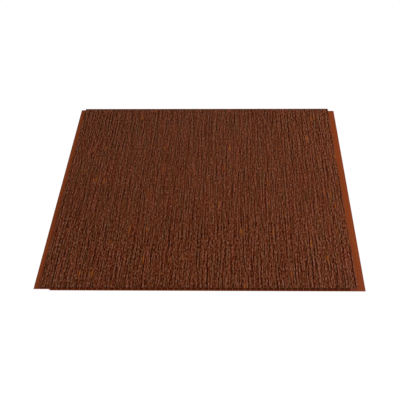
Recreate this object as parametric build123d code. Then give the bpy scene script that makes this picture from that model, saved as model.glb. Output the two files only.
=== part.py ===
from build123d import *
from math import hypot
import os

# Wall cladding panel: one length of hollow-cell board, extruded in one piece.
# A tongue runs along its left edge, over a recess in the back. A groove and a fixing flange run along
# its right edge. On the wall, the next panel's tongue enters the groove and its recess covers the flange.
# X runs across the board, Y along the extrusion and Z from the flat back up to the decorated face.
# The origin is on the back, at the centre of the board's whole footprint. All sizes are in millimetres.

# The board
face_width = 600.0
panel_length = 600.0
panel_thickness = 9.0

# The walls of the extrusion, and the target spacing of its cells
face_skin = 1.2
back_skin = 1.2
cell_web = 1.0
edge_wall = 1.4
cell_spacing = 11.1
cell_corner_radius = 0.6

# The left edge: a tongue, level with the ceiling of the recess that runs in under the face
recess_height = 3.4
recess_inset = 17.0
recess_slope_run = 3.4
tongue_reach = 11.0
tongue_thickness = 1.8

# The right edge: a groove for the tongue, and a flange for the fasteners
flange_reach = 15.0
flange_thickness = 2.4
flange_step_run = 0.8
tongue_clearance = 0.2
tongue_tip_clearance = 1.0

# Rounded and bevelled corners
face_edge_radius = 0.8
tongue_tip_radius = 0.6
flange_tip_radius = 0.6
groove_lead_in = 0.5

# Stations across the board, from the tongue's tip to the flange's
overall_width = tongue_reach + face_width + flange_reach
tongue_tip_x = -overall_width / 2
face_left_x = tongue_tip_x + tongue_reach
recess_end_x = face_left_x + recess_inset
recess_foot_x = recess_end_x + recess_slope_run
face_right_x = face_left_x + face_width
groove_end_x = face_right_x - tongue_reach - tongue_tip_clearance
flange_step_x = face_right_x + flange_step_run
flange_tip_x = face_right_x + flange_reach

# Heights above the back
tongue_top_z = recess_height + tongue_thickness
groove_floor_z = recess_height - tongue_clearance
groove_ceiling_z = tongue_top_z + tongue_clearance
cell_ceiling_z = panel_thickness - face_skin

# The first tall cell stands one edge wall away from the recess's slope, measured square to the slope
slope_at_cell_floor_x = recess_foot_x - back_skin * recess_slope_run / recess_height
tall_cells_left_x = slope_at_cell_floor_x + edge_wall * hypot(recess_slope_run, recess_height) / recess_height


def corners(section, *places):
    """The corner of the section that lies nearest to each place."""
    return [section.vertices().sort_by_distance((x, z, 0))[0] for x, z in places]


def outer_section():
    """The outline of the board's cross-section, drawn with X across and Z up."""
    outline = Polyline(
        (tongue_tip_x, recess_height),
        (recess_end_x, recess_height),
        (recess_foot_x, 0),
        (flange_tip_x, 0),
        (flange_tip_x, flange_thickness),
        (flange_step_x, flange_thickness),
        (flange_step_x, groove_floor_z),
        (groove_end_x, groove_floor_z),
        (groove_end_x, groove_ceiling_z),
        (face_right_x, groove_ceiling_z),
        (face_right_x, panel_thickness),
        (face_left_x, panel_thickness),
        (face_left_x, tongue_top_z),
        (tongue_tip_x, tongue_top_z),
        close=True,
    )
    section = make_face(outline)
    face_edges = corners(section, (face_left_x, panel_thickness), (face_right_x, panel_thickness))
    section = fillet(face_edges, face_edge_radius)
    tongue_tip = corners(section, (tongue_tip_x, recess_height), (tongue_tip_x, tongue_top_z))
    section = fillet(tongue_tip, tongue_tip_radius)
    section = fillet(corners(section, (flange_tip_x, flange_thickness)), flange_tip_radius)
    return chamfer(corners(section, (face_right_x, groove_ceiling_z)), groove_lead_in)


def cell_row(left_x, right_x, floor_z):
    """A row of equal cells that fills the space between two walls, with webs between the cells."""
    count = max(1, round((right_x - left_x + cell_web) / cell_spacing))
    pitch = (right_x - left_x + cell_web) / count
    cell_width = pitch - cell_web
    cell = RectangleRounded(cell_width, cell_ceiling_z - floor_z, cell_corner_radius)
    middle_z = (floor_z + cell_ceiling_z) / 2
    return [Pos(left_x + cell_width / 2 + index * pitch, middle_z) * cell for index in range(count)]


def tall_cells():
    """The cells between the recess's slope and the wall behind the groove."""
    return cell_row(tall_cells_left_x, groove_end_x - edge_wall, back_skin)


def low_cells():
    """The cells over the recess, between the face's left edge and the first tall cell."""
    return cell_row(face_left_x + edge_wall, tall_cells_left_x - cell_web, recess_height + back_skin)


def cladding_panel():
    """The whole board, extruded along Y from its one section."""
    section = outer_section() - tall_cells() - low_cells()
    far_end = Plane(origin=(0, panel_length / 2, 0), x_dir=(1, 0, 0), z_dir=(0, -1, 0))
    return extrude(far_end * section, panel_length)


os.makedirs("parts", exist_ok=True)
export_step(cladding_panel(), "parts/cladding_panel.step")
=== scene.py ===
"""Studio scene of a wall cladding panel: one hollow-cell board with a tongue, a groove and an embossed face.

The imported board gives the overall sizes. The dressed board is modelled inside them, in metres, with the same
section, and its face carries the brushed grain as real relief.
"""
import logging
import math
from collections.abc import Callable, Iterator
from contextlib import contextmanager
from dataclasses import dataclass, field
from enum import Enum

import bmesh
import bpy
import numpy as np
from mathutils import Matrix, Vector


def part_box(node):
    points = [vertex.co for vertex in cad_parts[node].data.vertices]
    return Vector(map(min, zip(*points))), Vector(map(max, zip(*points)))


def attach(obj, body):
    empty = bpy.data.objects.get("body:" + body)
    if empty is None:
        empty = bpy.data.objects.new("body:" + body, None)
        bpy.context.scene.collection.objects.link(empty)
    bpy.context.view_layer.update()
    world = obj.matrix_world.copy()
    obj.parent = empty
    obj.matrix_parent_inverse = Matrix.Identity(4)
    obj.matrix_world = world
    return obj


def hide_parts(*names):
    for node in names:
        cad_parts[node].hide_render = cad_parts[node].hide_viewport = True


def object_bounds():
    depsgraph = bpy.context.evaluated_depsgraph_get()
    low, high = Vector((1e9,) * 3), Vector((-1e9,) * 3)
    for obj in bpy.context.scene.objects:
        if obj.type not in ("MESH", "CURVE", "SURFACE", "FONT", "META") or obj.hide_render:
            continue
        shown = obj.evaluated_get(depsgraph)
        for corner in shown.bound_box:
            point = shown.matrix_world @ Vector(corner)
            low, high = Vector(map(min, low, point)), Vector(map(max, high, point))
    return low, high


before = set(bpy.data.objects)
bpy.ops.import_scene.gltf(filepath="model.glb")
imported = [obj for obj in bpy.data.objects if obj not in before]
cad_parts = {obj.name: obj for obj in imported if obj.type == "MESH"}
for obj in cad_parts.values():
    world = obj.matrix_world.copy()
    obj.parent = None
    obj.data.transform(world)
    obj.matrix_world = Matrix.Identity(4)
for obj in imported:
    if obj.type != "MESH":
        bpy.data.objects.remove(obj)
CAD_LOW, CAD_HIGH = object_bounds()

logging.basicConfig(level=logging.INFO, format="%(message)s")
log = logging.getLogger("cladding")

MM = 0.001
# How near two points lie to count as one place
NEAR = 0.01 * MM
# Cosine of the angle within which a surface counts as facing a direction
FACING = 0.9
# Where nearly all the values of a smooth noise lie
NOISE_LOW, NOISE_HIGH = 0.25, 0.75
# Strength of each finer octave of a noise beside the one before it
OCTAVE_STRENGTH = 0.6
# A noise's size, in metres, along an axis in which it should stay the same
UNVARIED = 1.0
# The middle level of a noise and of the relief, which both run from 0 to 1
MID_LEVEL = 0.5
# The sRGB curve: a straight foot up to a threshold, and a power above it
SRGB_THRESHOLD, SRGB_SLOPE, SRGB_OFFSET, SRGB_POWER = 0.04045, 12.92, 0.055, 2.4
# Specular level of the board's dull PVC and film: sheen shows only at a low angle
DULL_SPECULAR = 0.1
BOARD_NODE = "cladding_panel"


def linear(hex_colour: str) -> tuple[float, float, float, float]:
    """Turn an sRGB hex colour into the linear colour that a shader takes.

    Args:
        hex_colour: six hex digits, such as "7A4A38".

    Returns:
        Linear red, green and blue, with an alpha of one.
    """
    channels = [int(hex_colour[i:i + 2], 16) / 255 for i in (0, 2, 4)]
    red, green, blue = (c / SRGB_SLOPE if c <= SRGB_THRESHOLD
                        else ((c + SRGB_OFFSET) / (1 + SRGB_OFFSET))**SRGB_POWER for c in channels)
    return red, green, blue, 1.0


def add_node(tree: bpy.types.NodeTree, kind: str, settings: dict | None = None,
             links: dict | None = None) -> bpy.types.Node:
    """Add a shader node, set it up and link its inputs.

    Args:
        tree: the material's node tree.
        kind: the node's type without its ShaderNode prefix.
        settings: values for its properties, by name, or for its input sockets, by name or number.
        links: output sockets to link, by the input socket's name or number.

    Returns:
        The new node.
    """
    node = tree.nodes.new("ShaderNode" + kind)
    for name, value in (settings or {}).items():
        if isinstance(name, str) and hasattr(node, name):
            setattr(node, name, value)
        else:
            node.inputs[name].default_value = value
    for name, output in (links or {}).items():
        tree.links.new(output, node.inputs[name])
    return node


def new_material(name: str) -> tuple[bpy.types.Material, bpy.types.NodeTree]:
    """Make an empty node material.

    Args:
        name: the material's name.

    Returns:
        The material and its node tree.
    """
    material = bpy.data.materials.new(name)
    material.use_nodes = True
    material.node_tree.nodes.clear()
    return material, material.node_tree


def spread_tones(tones: tuple[str, ...], first: float = 0.0, last: float = 1.0) -> list[tuple[float, tuple]]:
    """Space a finish's tones evenly, as the stops of a colour ramp.

    Args:
        tones: sRGB hex colours, from the lowest level to the highest.
        first: where the first tone stands on the ramp.
        last: where the last one stands.

    Returns:
        Each stop's position and linear colour.
    """
    step = (last - first) / (len(tones) - 1)
    return [(first + i * step, linear(tone)) for i, tone in enumerate(tones)]


def set_ramp(ramp: bpy.types.ColorRamp, stops: list[tuple[float, tuple]]) -> None:
    """Give a colour ramp its stops.

    Args:
        ramp: the ramp of a ColorRamp node.
        stops: each stop's position and linear colour, in rising order.
    """
    while len(ramp.elements) < len(stops):
        ramp.elements.new(1.0)
    for element, (position, colour) in zip(ramp.elements, stops):
        element.position = position
        element.color = colour


def drawn_noise(tree: bpy.types.NodeTree, place: bpy.types.NodeSocket, sizes: tuple[float, float, float],
                octaves: float, offset: tuple[float, float, float] = (0, 0, 0)) -> bpy.types.NodeSocket:
    """Lay a noise that is drawn out to a real size along each axis.

    Args:
        tree: the material's node tree.
        place: the output socket of the object's coordinates.
        sizes: the noise's size across, along and up the board, in metres.
        octaves: how many finer octaves are added.
        offset: shifts the noise, in its own units, away from another of the same kind.

    Returns:
        The noise's level, as an output socket.
    """
    drawn = add_node(tree, "Mapping", {"Location": offset, "Scale": tuple(1 / size for size in sizes)},
                     {"Vector": place})
    noise = add_node(tree, "TexNoise", {"Scale": 1.0, "Detail": octaves, "Roughness": OCTAVE_STRENGTH},
                     {"Vector": drawn.outputs[0]})
    return noise.outputs["Fac"]


def add_dull_surface(tree: bpy.types.NodeTree, colour: bpy.types.NodeSocket, roughness: float,
                     texture: bpy.types.NodeSocket, height: float) -> None:
    """Finish a material of the board with its shader and its fine bumps.

    Args:
        tree: the material's node tree.
        colour: the output socket of the surface's colour.
        roughness: the surface's roughness.
        texture: the output socket whose level raises the bumps.
        height: the bumps' height, in metres.
    """
    bump = add_node(tree, "Bump", {"Strength": 1.0, "Distance": height}, {"Height": texture})
    shader = add_node(tree, "BsdfPrincipled", {"Roughness": roughness, "Specular IOR Level": DULL_SPECULAR},
                      {"Base Color": colour, "Normal": bump.outputs["Normal"]})
    add_node(tree, "OutputMaterial", {}, {"Surface": shader.outputs[0]})


@dataclass(frozen=True)
class EmbossedFilm:
    """Printed wood-grain film, laminated hot on the face and embossed with brushed grain.

    The colour follows the relief: the pits are painted darker and redder, as painted shade, and the ridges
    paler and greyer, as a painted dull sheen. The print's colour wanders between olive and crimson from
    streak to streak, and a few streaks are ochre.
    """

    # From the deepest pit to the highest ridge: painted shade in the pits, a painted dull sheen on the ridges
    tones: tuple[str, ...] = ("190000", "3A0E00", "522308", "693D29", "7F5546")
    roughness: float = 0.4
    # The brush's hairs leave lines some 0.3 mm wide. They are drawn coarser, so that they show from the
    # camera. Their strength is how much of the tones' range the noise's whole swing covers, so the low
    # hair lines get painted shade and the high ones a painted dull sheen.
    hair_width: float = 2.5 * MM
    hair_length: float = 6.5 * MM
    hair_strength: float = 1.95
    hair_height: float = 0.06 * MM
    hair_octaves: float = 4.0
    # The tints are laid over the tones as soft light, for which a middle grey changes nothing
    tints: tuple[str, ...] = ("A6BBAF", "CBB7BE")
    tint_width: float = 6 * MM
    tint_length: float = 90 * MM
    tint_octaves: float = 1.0
    ochre: str = "8C480E"
    ochre_width: float = 6 * MM
    ochre_length: float = 40 * MM
    ochre_octaves: float = 0.0
    ochre_share: float = 0.55
    # The level of its noise at which a streak starts to turn ochre, and the level where it's fully so
    ochre_levels: tuple[float, float] = (0.74, 0.84)
    # Sets the ochre streaks apart from the tints
    ochre_offset: tuple[float, float, float] = (7, 3, 0)

    def material(self) -> bpy.types.Material:
        """Make the film's material.

        Returns:
            The finished node material.
        """
        material, tree = new_material("embossed_film_print_with_painted_shade_and_sheen")
        place = add_node(tree, "TexCoord").outputs["Object"]
        relief = add_node(tree, "Attribute", {"attribute_name": GrainRelief.ATTRIBUTE}).outputs["Fac"]
        hairs = drawn_noise(tree, place, (self.hair_width, self.hair_length, UNVARIED), self.hair_octaves)
        shift = -self.hair_strength * MID_LEVEL
        raised = add_node(tree, "Math", {"operation": "MULTIPLY_ADD", 1: self.hair_strength, 2: shift},
                          {0: hairs})
        level = add_node(tree, "Math", {"operation": "ADD"}, {0: relief, 1: raised.outputs[0]})
        # The relief and the hairs pick the tone: painted shade where they are low, a painted dull sheen where
        # high
        toned = add_node(tree, "ValToRGB", {}, {"Fac": level.outputs[0]})
        set_ramp(toned.color_ramp, spread_tones(self.tones))
        streaks = drawn_noise(tree, place, (self.tint_width, self.tint_length, UNVARIED), self.tint_octaves)
        tint = add_node(tree, "ValToRGB", {}, {"Fac": streaks})
        set_ramp(tint.color_ramp, spread_tones(self.tints, NOISE_LOW, NOISE_HIGH))
        tinted = add_node(tree, "MixRGB", {"blend_type": "SOFT_LIGHT", "Fac": 1.0},
                          {"Color1": toned.outputs["Color"], "Color2": tint.outputs["Color"]})
        stains = drawn_noise(tree, place, (self.ochre_width, self.ochre_length, UNVARIED), self.ochre_octaves,
                             self.ochre_offset)
        first, full = self.ochre_levels
        stain = add_node(tree, "MapRange", {"From Min": first, "From Max": full, "To Max": self.ochre_share},
                         {"Value": stains})
        stained = add_node(tree, "MixRGB", {"Color2": linear(self.ochre)},
                           {"Fac": stain.outputs[0], "Color1": tinted.outputs["Color"]})
        add_dull_surface(tree, stained.outputs["Color"], self.roughness, hairs, self.hair_height)
        return material


@dataclass(frozen=True)
class ExtrudedSkin:
    """Rigid PVC skin of the extrusion, coloured through and drawn smooth by the die.

    It looks satin and red brown, with faint paler and darker flow lines drawn out along the board.
    """

    tones: tuple[str, ...] = ("692B0D", "743313", "7F3A18")
    roughness: float = 0.42
    # Flow lines are under 0.5 mm apart. They are drawn coarser, so that they show.
    line_width: float = 1.5 * MM
    line_length: float = 120 * MM
    line_height: float = 0.01 * MM
    line_octaves: float = 3.0

    def material(self) -> bpy.types.Material:
        """Make the skin's material.

        Returns:
            The finished node material.
        """
        material, tree = new_material("extruded_rigid_pvc")
        place = add_node(tree, "TexCoord").outputs["Object"]
        sizes = (self.line_width, self.line_length, self.line_width)
        lines = drawn_noise(tree, place, sizes, self.line_octaves)
        toned = add_node(tree, "ValToRGB", {}, {"Fac": lines})
        set_ramp(toned.color_ramp, spread_tones(self.tones, NOISE_LOW, NOISE_HIGH))
        add_dull_surface(tree, toned.outputs["Color"], self.roughness, lines, self.line_height)
        return material


@dataclass(frozen=True)
class SawnCompound:
    """Sawn end of the filled PVC: matt and gritty, and paler where the saw's teeth tore it.

    Its top is drawn dark, in a band up to about 1 mm deep over the end of the face skin, though the laminated
    film's own cut edge there is only some 0.2 mm thick.
    """

    tones: tuple[str, ...] = ("733219", "823C22", "924A2C")
    dark_top_tone: str = "2A0C04"
    # The height above which the cut is drawn dark. The real film is some 0.2 mm thick under the relief; the
    # dark band reaches down past it over the end of the face skin.
    dark_top_floor: float = 7.95 * MM
    roughness: float = 0.7
    # Saw marks and torn grit are some 0.2 mm across. They are drawn coarser, so that they show.
    mark_width: float = 0.5 * MM
    mark_height: float = 5 * MM
    grit: float = 0.8 * MM
    grit_height: float = 0.04 * MM
    grit_octaves: float = 3.0

    def material(self) -> bpy.types.Material:
        """Make the sawn compound's material.

        Returns:
            The finished node material.
        """
        material, tree = new_material("sawn_filled_pvc")
        place = add_node(tree, "TexCoord").outputs["Object"]
        torn = drawn_noise(tree, place, (self.mark_width, self.grit, self.mark_height), self.grit_octaves)
        toned = add_node(tree, "ValToRGB", {}, {"Fac": torn})
        set_ramp(toned.color_ramp, spread_tones(self.tones, NOISE_LOW, NOISE_HIGH))
        height = add_node(tree, "SeparateXYZ", {}, {"Vector": place}).outputs["Z"]
        # The cut takes the dark tone above this height, in a band along its top
        film = add_node(tree, "Math", {"operation": "GREATER_THAN", 1: self.dark_top_floor}, {0: height})
        darkened_top = add_node(tree, "MixRGB", {"Color2": linear(self.dark_top_tone)},
                         {"Fac": film.outputs[0], "Color1": toned.outputs["Color"]})
        add_dull_surface(tree, darkened_top.outputs["Color"], self.roughness, torn, self.grit_height)
        return material


class Element(Enum):
    """What an edit-mode selection picks."""

    VERTICES = "VERT"
    EDGES = "EDGE"
    FACES = "FACE"


def select(piece: bpy.types.Object, element: Element, test: Callable[..., bool]) -> None:
    """Select, in edit mode, the elements of a piece that pass a test, and nothing else.

    Args:
        piece: the object being edited.
        element: the kind of element to pick.
        test: tells whether one bmesh element is picked.
    """
    bpy.ops.mesh.select_mode(type=element.value)
    bpy.ops.mesh.select_all(action="DESELECT")
    shape = bmesh.from_edit_mesh(piece.data)
    kinds = {Element.VERTICES: shape.verts, Element.EDGES: shape.edges, Element.FACES: shape.faces}
    for part in kinds[element]:
        if test(part):
            part.select_set(True)
    shape.select_flush_mode()
    bmesh.update_edit_mesh(piece.data)


@contextmanager
def editing(piece: bpy.types.Object) -> Iterator[None]:
    """Edit one piece alone.

    Args:
        piece: the mesh object to edit.
    """
    pick_only(piece)
    bpy.ops.object.mode_set(mode="EDIT")
    try:
        yield
    finally:
        bpy.ops.object.mode_set(mode="OBJECT")


def pick_only(piece: bpy.types.Object) -> None:
    """Select one object, make it active, and deselect the rest.

    Args:
        piece: the object to select.
    """
    bpy.ops.object.select_all(action="DESELECT")
    piece.select_set(True)
    bpy.context.view_layer.objects.active = piece


def apply_modifier(piece: bpy.types.Object, kind: str, **settings) -> None:
    """Add a modifier to a piece and apply it at once.

    Args:
        piece: the mesh object.
        kind: the modifier's type, such as "BOOLEAN".
        **settings: values for the modifier's properties.
    """
    modifier = piece.modifiers.new(kind.lower(), kind)
    for name, value in settings.items():
        setattr(modifier, name, value)
    pick_only(piece)
    bpy.ops.object.modifier_apply(modifier=modifier.name)


@dataclass(frozen=True)
class GrainRelief:
    """Brushed grain pressed into the face: short ridges and pits, and long streaks, all along the board."""

    ATTRIBUTE = "relief"

    # From the highest ridge to the deepest pit. Most of the relief lies within half of it.
    depth: float = 0.4 * MM
    # How far each noise is blurred. The ridges that it leaves are about four times as wide, and a streak goes
    # on for several times its length. Real brushed lines are finer: these are as fine as the camera shows.
    grain_width: float = 0.55 * MM
    grain_length: float = 1.6 * MM
    streak_width: float = 0.65 * MM
    streak_length: float = 30 * MM
    # Swells broader than the gap are flattened by this share, so that no band of the face stands out
    gap: float = 8 * MM
    gap_share: float = 0.85
    # The streaks' share of the mix, and the mix's spread about the middle level
    streak_share: float = 0.72
    spread: float = 0.24
    # How much the pits are deepened and the ridges flattened
    pit_bias: float = 0.25
    seed: int = 11

    def levels(self, columns: int, rows: int, step_x: float, step_y: float) -> np.ndarray:
        """Work out the relief on a grid of points.

        Args:
            columns: points across the face.
            rows: points along the face.
            step_x: spacing of the columns, in metres.
            step_y: spacing of the rows, in metres.

        Returns:
            Rows by columns of levels, from 0 in the deepest pit to 1 on the highest ridge.
        """
        rng = np.random.default_rng(self.seed)
        across = np.fft.rfftfreq(columns, step_x)[None, :]
        along = np.fft.fftfreq(rows, step_y)[:, None]
        # Each gain is one value for each frequency. A blur's gain is bell-shaped.
        spaced = 1 - self.gap_share * np.exp(-(across * self.gap)**2)
        grain = np.exp(-2 * (math.pi * self.grain_width * across)**2
                       - 2 * (math.pi * self.grain_length * along)**2)
        grain = grain * spaced
        streak = np.exp(-2 * (math.pi * self.streak_width * across)**2) * spaced
        streak = streak / np.sqrt(1 + (2 * math.pi * self.streak_length * along)**2)
        mixed = math.sqrt(1 - self.streak_share) * self._shaped_noise(rng, rows, columns, grain)
        mixed += math.sqrt(self.streak_share) * self._shaped_noise(rng, rows, columns, streak)
        mixed -= self.pit_bias * (mixed**2 - 1)
        return np.clip(MID_LEVEL + mixed * self.spread, 0.0, 1.0)

    @staticmethod
    def _shaped_noise(rng: np.random.Generator, rows: int, columns: int, shape: np.ndarray) -> np.ndarray:
        """Shape white noise by a gain for each frequency.

        Args:
            rng: the seeded source of noise.
            rows: points along the board.
            columns: points across it.
            shape: the gain of each frequency, rows by half the columns.

        Returns:
            Rows by columns of noise with a mean of zero and a spread of one.
        """
        noise = np.fft.irfft2(np.fft.rfft2(rng.standard_normal((rows, columns))) * shape, s=(rows, columns))
        return (noise - noise.mean()) / noise.std()


@dataclass(frozen=True)
class Corner:
    """A corner of the board's section: its place across and up the board, and the round that breaks it."""

    x: float
    z: float
    radius: float = 0.0
    segments: int = 4


@dataclass
class Board:
    """The whole cladding panel, one extrusion: section, cells, embossed face and finishes."""

    width: float
    length: float
    thickness: float
    face_skin: float = 1.2 * MM
    back_skin: float = 1.2 * MM
    cell_web: float = 1.0 * MM
    edge_wall: float = 1.4 * MM
    cell_spacing: float = 11.1 * MM
    cell_corner: float = 0.6 * MM
    recess_height: float = 3.4 * MM
    recess_inset: float = 17.0 * MM
    recess_slope_run: float = 3.4 * MM
    tongue_reach: float = 11.0 * MM
    tongue_thickness: float = 1.8 * MM
    flange_reach: float = 15.0 * MM
    flange_thickness: float = 2.4 * MM
    flange_step_run: float = 0.8 * MM
    tongue_clearance: float = 0.2 * MM
    tip_clearance: float = 1.0 * MM
    face_edge_radius: float = 0.8 * MM
    tip_radius: float = 0.6 * MM
    groove_lead_in: float = 0.5 * MM
    cell_corner_segments: int = 3
    # How far past each end the cell cores run
    overrun: float = 5 * MM
    # Steps of the face's grid, each as two factors, because an edge is cut into at most 100 pieces at a time.
    # The grain is drawn out along the board, so the grid is 1.1 mm across by 3.6 mm along. Finer relief is in
    # the film's material.
    face_columns: tuple[int, int] = (6, 90)
    face_rows: tuple[int, int] = (6, 28)
    smooth_angle: float = math.radians(45)
    relief: GrainRelief = field(default_factory=GrainRelief)

    def __post_init__(self) -> None:
        """Work out the stations across the board and the heights above its back."""
        self.tongue_tip = -self.width / 2
        self.face_left = self.tongue_tip + self.tongue_reach
        self.recess_end = self.face_left + self.recess_inset
        self.recess_foot = self.recess_end + self.recess_slope_run
        self.flange_tip = self.width / 2
        self.face_right = self.flange_tip - self.flange_reach
        self.groove_end = self.face_right - self.tongue_reach - self.tip_clearance
        self.flange_step = self.face_right + self.flange_step_run
        self.tongue_top = self.recess_height + self.tongue_thickness
        self.groove_floor = self.recess_height - self.tongue_clearance
        self.groove_ceiling = self.tongue_top + self.tongue_clearance
        self.cell_ceiling = self.thickness - self.face_skin
        slope_x = self.recess_foot - self.back_skin * self.recess_slope_run / self.recess_height
        slope_length = math.hypot(self.recess_slope_run, self.recess_height)
        self.tall_left = slope_x + self.edge_wall * slope_length / self.recess_height

    def build(self) -> bpy.types.Object:
        """Model the board and give it its finishes.

        Returns:
            The finished mesh object.
        """
        board = self._extruded_outline()
        self._cut_cells(board, self.tall_left, self.groove_end - self.edge_wall, self.back_skin)
        self._cut_cells(board, self.face_left + self.edge_wall, self.tall_left - self.cell_web,
                        self.recess_height + self.back_skin)
        self._lay_face(board)
        self._press_relief(board)
        self._dress(board)
        pick_only(board)
        bpy.ops.object.shade_smooth_by_angle(angle=self.smooth_angle)
        return board

    def _outline(self) -> list[Corner]:
        """List the corners of the section, from the tongue's underside round to its top.

        Returns:
            The corners in order. The groove's lead-in is a bevel, and the others are round or sharp.
        """
        return [
            Corner(self.tongue_tip, self.recess_height, self.tip_radius),
            Corner(self.recess_end, self.recess_height),
            Corner(self.recess_foot, 0.0),
            Corner(self.flange_tip, 0.0),
            Corner(self.flange_tip, self.flange_thickness, self.tip_radius),
            Corner(self.flange_step, self.flange_thickness),
            Corner(self.flange_step, self.groove_floor),
            Corner(self.groove_end, self.groove_floor),
            Corner(self.groove_end, self.groove_ceiling),
            Corner(self.face_right, self.groove_ceiling, self.groove_lead_in, segments=1),
            Corner(self.face_right, self.thickness, self.face_edge_radius),
            Corner(self.face_left, self.thickness, self.face_edge_radius),
            Corner(self.face_left, self.tongue_top),
            Corner(self.tongue_tip, self.tongue_top, self.tip_radius),
        ]

    def _extruded_outline(self) -> bpy.types.Object:
        """Draw the section's outline corner by corner, round it, and extrude it along the board.

        Returns:
            The board as a plain extrusion, with no cells.
        """
        corners = self._outline()
        bpy.ops.object.select_all(action="DESELECT")
        bpy.ops.mesh.primitive_plane_add(size=MM)
        board = bpy.context.object
        board.name = "dressed_cladding_panel"
        with editing(board):
            bpy.ops.mesh.select_all(action="SELECT")
            bpy.ops.mesh.merge(type="CENTER")
            last = corners[0]
            bpy.ops.transform.translate(value=(last.x, -self.length / 2, last.z))
            for corner in corners[1:]:
                step = (corner.x - last.x, 0, corner.z - last.z)
                bpy.ops.mesh.extrude_vertices_move(TRANSFORM_OT_translate={"value": step})
                last = corner
            bpy.ops.mesh.select_all(action="SELECT")
            bpy.ops.mesh.edge_face_add()
            for corner in corners:
                if corner.radius:
                    self._round_corner(board, corner)
            bpy.ops.mesh.select_all(action="SELECT")
            bpy.ops.mesh.extrude_region_move(TRANSFORM_OT_translate={"value": (0, self.length, 0)})
            bpy.ops.mesh.select_all(action="SELECT")
            bpy.ops.mesh.normals_make_consistent(inside=False)
        return board

    def _round_corner(self, board: bpy.types.Object, corner: Corner) -> None:
        """Round one corner of the flat section.

        Args:
            board: the piece in edit mode.
            corner: the corner to round.
        """
        place = Vector((corner.x, -self.length / 2, corner.z))
        select(board, Element.VERTICES, lambda vertex: (vertex.co - place).length < NEAR)
        bpy.ops.mesh.bevel(offset=corner.radius, segments=corner.segments, affect="VERTICES")

    def _cut_cells(self, board: bpy.types.Object, left: float, right: float, floor: float) -> None:
        """Cut a row of equal cells right through the board.

        Args:
            board: the extruded piece.
            left: where the first cell starts.
            right: where the last cell ends.
            floor: the height of the cells' floor.
        """
        count = round((right - left + self.cell_web) / self.cell_spacing)
        pitch = (right - left + self.cell_web) / count
        cell_width = pitch - self.cell_web
        height = self.cell_ceiling - floor
        bpy.ops.object.select_all(action="DESELECT")
        bpy.ops.mesh.primitive_cube_add(size=1)
        core = bpy.context.object
        core.dimensions = (cell_width, self.length + 2 * self.overrun, height)
        core.location = (left + cell_width / 2, 0, floor + height / 2)
        bpy.ops.object.transform_apply(location=True, rotation=False, scale=True)
        with editing(core):
            select(core, Element.EDGES,
                   lambda edge: abs(edge.verts[0].co.y - edge.verts[1].co.y) > self.length)
            bpy.ops.mesh.bevel(offset=self.cell_corner, segments=self.cell_corner_segments, affect="EDGES")
        apply_modifier(core, "ARRAY", count=count, use_relative_offset=False, use_constant_offset=True,
                       constant_offset_displace=(pitch, 0, 0))
        apply_modifier(board, "BOOLEAN", operation="DIFFERENCE", object=core, solver="EXACT")
        bpy.data.objects.remove(core)

    def _lay_face(self, board: bpy.types.Object) -> None:
        """Swap the plain top of the board for a fine grid that can take the relief, and close the seam.

        Args:
            board: the board with its cells cut.
        """
        left, right = self.face_left + self.face_edge_radius, self.face_right - self.face_edge_radius
        top = self.thickness - NEAR
        with editing(board):
            select(board, Element.FACES, lambda face: min(v.co.z for v in face.verts) > top)
            bpy.ops.mesh.delete(type="ONLY_FACE")
            for across, factors in ((True, self.face_columns), (False, self.face_rows)):
                for pieces in factors:
                    select(board, Element.EDGES, lambda edge: all(v.co.z > top for v in edge.verts)
                           and (abs(edge.verts[0].co.y - edge.verts[1].co.y) < NEAR) == across)
                    bpy.ops.mesh.subdivide(number_cuts=pieces - 1)
        bpy.ops.object.select_all(action="DESELECT")
        bpy.ops.mesh.primitive_grid_add(x_subdivisions=math.prod(self.face_columns),
                                        y_subdivisions=math.prod(self.face_rows), size=1)
        face = bpy.context.object
        face.scale = (right - left, self.length, 1)
        face.location = ((left + right) / 2, 0, self.thickness)
        bpy.ops.object.transform_apply(location=True, rotation=False, scale=True)
        board.select_set(True)
        bpy.context.view_layer.objects.active = board
        bpy.ops.object.join()
        with editing(board):
            bpy.ops.mesh.select_all(action="SELECT")
            bpy.ops.mesh.remove_doubles(threshold=NEAR)
            bpy.ops.mesh.normals_make_consistent(inside=False)

    def _press_relief(self, board: bpy.types.Object) -> None:
        """Sink the face's points by the grain, and keep each point's level for the film's painted shade and
        sheen.

        Args:
            board: the board with its fine face.
        """
        columns, rows = math.prod(self.face_columns) + 1, math.prod(self.face_rows) + 1
        left = self.face_left + self.face_edge_radius
        step_x = (self.face_right - self.face_edge_radius - left) / (columns - 1)
        step_y = self.length / (rows - 1)
        levels = self.relief.levels(columns, rows, step_x, step_y)
        mesh = board.data
        points = np.zeros(len(mesh.vertices) * 3, np.float32)
        mesh.vertices.foreach_get("co", points)
        points = points.reshape(-1, 3)
        on_face = points[:, 2] > self.thickness - NEAR
        column = np.rint((points[on_face, 0] - left) / step_x).astype(int)
        row = np.rint((points[on_face, 1] + self.length / 2) / step_y).astype(int)
        inside = (column > 0) & (column < columns - 1)
        level = levels[np.clip(row, 0, rows - 1), np.clip(column, 0, columns - 1)]
        points[on_face, 2] -= np.where(inside, (1 - level) * self.relief.depth, 0)
        mesh.vertices.foreach_set("co", points.ravel())
        stored = np.full(len(points), MID_LEVEL, np.float32)
        stored[on_face] = level
        attribute = mesh.attributes.new(GrainRelief.ATTRIBUTE, "FLOAT", "POINT")
        attribute.data.foreach_set("value", stored)
        mesh.update()

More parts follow.
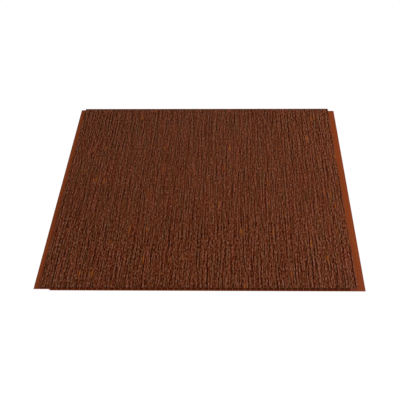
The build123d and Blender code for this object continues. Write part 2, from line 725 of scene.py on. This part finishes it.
    def _dress(self, board: bpy.types.Object) -> None:
        """Give each face of the board its finish.

        Args:
            board: the board in its final shape.
        """
        finishes = (EmbossedFilm(), ExtrudedSkin(), SawnCompound())
        film, skin, sawn = range(len(finishes))
        for finish in finishes:
            board.data.materials.append(finish.material())
        film_floor = self.thickness - max(self.relief.depth, self.face_edge_radius) - NEAR
        for polygon in board.data.polygons:
            if abs(polygon.normal.y) > FACING:
                polygon.material_index = sawn
            elif polygon.center.z > film_floor and polygon.normal.z > 0:
                polygon.material_index = film
            else:
                polygon.material_index = skin


@dataclass(frozen=True)
class Softbox:
    """A square softbox that faces the board: its place and size in metres, and its power in watts."""

    name: str
    place: tuple[float, float, float]
    size: float
    power: float

    def hang(self) -> bpy.types.Object:
        """Hang the softbox in its place.

        Returns:
            The light object.
        """
        data = bpy.data.lights.new(self.name, "AREA")
        data.shape = "SQUARE"
        data.size = self.size
        data.energy = self.power
        light = bpy.data.objects.new(self.name, data)
        light.location = self.place
        light.rotation_euler = (-Vector(self.place)).to_track_quat("-Z", "Y").to_euler()
        bpy.context.scene.collection.objects.link(light)
        return light


@dataclass
class Studio:
    """The floor, the lights and the camera."""

    # The camera, fitted to the photograph's outline of the board: its focal length, the column that it looks
    # at and the picture's width in pixels, its sensor's width in millimetres, and its place in metres
    focal_px: float = 754.5
    centre_px: float = 217.1
    image_px: float = 400.0
    sensor: float = 36.0
    eye: tuple[float, float, float] = (0.0638, -1.2668, 1.0565)
    yaw: float = math.radians(-1.58)
    elevation: float = math.radians(40.65)
    roll: float = math.radians(0.97)
    clip: tuple[float, float] = (0.05, 50.0)
    floor_size: float = 40.0
    # Keeps the floor from lying in the plane of the board's back
    floor_gap: float = 0.05 * MM
    floor_light: float = 1.02
    ceiling_light: float = 0.05
    # Heights, from 0 at the horizon to 1 overhead, where the surround starts to darken and where it is dark
    surround_fade: tuple[float, float] = (0.12, 0.3)
    # A large softbox high in front and far off, as even as daylight, and a small one beside each edge. The
    # right one is the stronger of the two, and models the grain.
    softboxes: tuple[Softbox, ...] = (
        Softbox("main_softbox", place=(1.4, -6.76, 9.5), size=5.6, power=812.0),
        Softbox("right_softbox", place=(0.95, 0.05, 0.95), size=0.5, power=12.4),
        Softbox("left_softbox", place=(-0.95, 0.05, 0.95), size=0.5, power=3.2),
    )

    def camera(self) -> bpy.types.Object:
        """Set up the camera at the photograph's viewpoint.

        Returns:
            The camera object.
        """
        data = bpy.data.cameras.new("view")
        data.sensor_width = self.sensor
        data.lens = self.focal_px / self.image_px * self.sensor
        data.shift_x = (self.image_px / 2 - self.centre_px) / self.image_px
        data.clip_start, data.clip_end = self.clip
        camera = bpy.data.objects.new("view", data)
        bpy.context.scene.collection.objects.link(camera)
        forward = Vector((math.sin(self.yaw) * math.cos(self.elevation),
                          math.cos(self.yaw) * math.cos(self.elevation), -math.sin(self.elevation)))
        turn = forward.to_track_quat("-Z", "Y").to_matrix() @ Matrix.Rotation(-self.roll, 3, "Z")
        camera.matrix_world = Matrix.Translation(self.eye) @ turn.to_4x4()
        bpy.context.scene.camera = camera
        return camera

    def floor(self) -> bpy.types.Object:
        """Lay a lit white acrylic table under the board: pale, plain and free of shadows.

        Returns:
            The floor object.
        """
        bpy.ops.object.select_all(action="DESELECT")
        bpy.ops.mesh.primitive_plane_add(size=self.floor_size, location=(0, 0, CAD_LOW.z - self.floor_gap))
        bpy.ops.object.transform_apply(location=True, rotation=False, scale=False)
        floor = bpy.context.object
        floor.name = "floor"
        material, tree = new_material("lit_white_acrylic")
        glow = add_node(tree, "Emission", {"Color": linear("FFFFFF"), "Strength": self.floor_light})
        add_node(tree, "OutputMaterial", {}, {"Surface": glow.outputs[0]})
        floor.data.materials.append(material)
        return floor

    def surround(self) -> None:
        """Set a surround that is white at the horizon, as the floor is, and dark above it."""
        world = bpy.data.worlds.new("surround")
        world.use_nodes = True
        tree = world.node_tree
        tree.nodes.clear()
        direction = add_node(tree, "TexCoord").outputs["Generated"]
        height = add_node(tree, "SeparateXYZ", {}, {"Vector": direction})
        ramp = add_node(tree, "ValToRGB", {}, {"Fac": height.outputs["Z"]})
        light, dark = linear("FFFFFF"), (self.ceiling_light,) * 3 + (1.0,)
        set_ramp(ramp.color_ramp, list(zip(self.surround_fade, (light, dark))))
        background = add_node(tree, "Background", {}, {"Color": ramp.outputs["Color"]})
        add_node(tree, "OutputWorld", {}, {"Surface": background.outputs[0]})
        bpy.context.scene.world = world

    def lights(self) -> None:
        """Light the board, the surround first and then the softboxes, and show colours as they are."""
        self.surround()
        for softbox in self.softboxes:
            softbox.hang()
        bpy.context.scene.view_settings.view_transform = "Standard"


def main() -> None:
    """Build the studio and the dressed board."""
    studio = Studio()
    studio.camera()
    studio.floor()
    studio.lights()
    low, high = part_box(BOARD_NODE)
    board = Board(width=high.x - low.x, length=high.y - low.y, thickness=high.z - low.z).build()
    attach(board, "root")
    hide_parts(BOARD_NODE)
    log.info("%s: %d polygons", board.name, len(board.data.polygons))


if __name__ == "__main__":
    main()
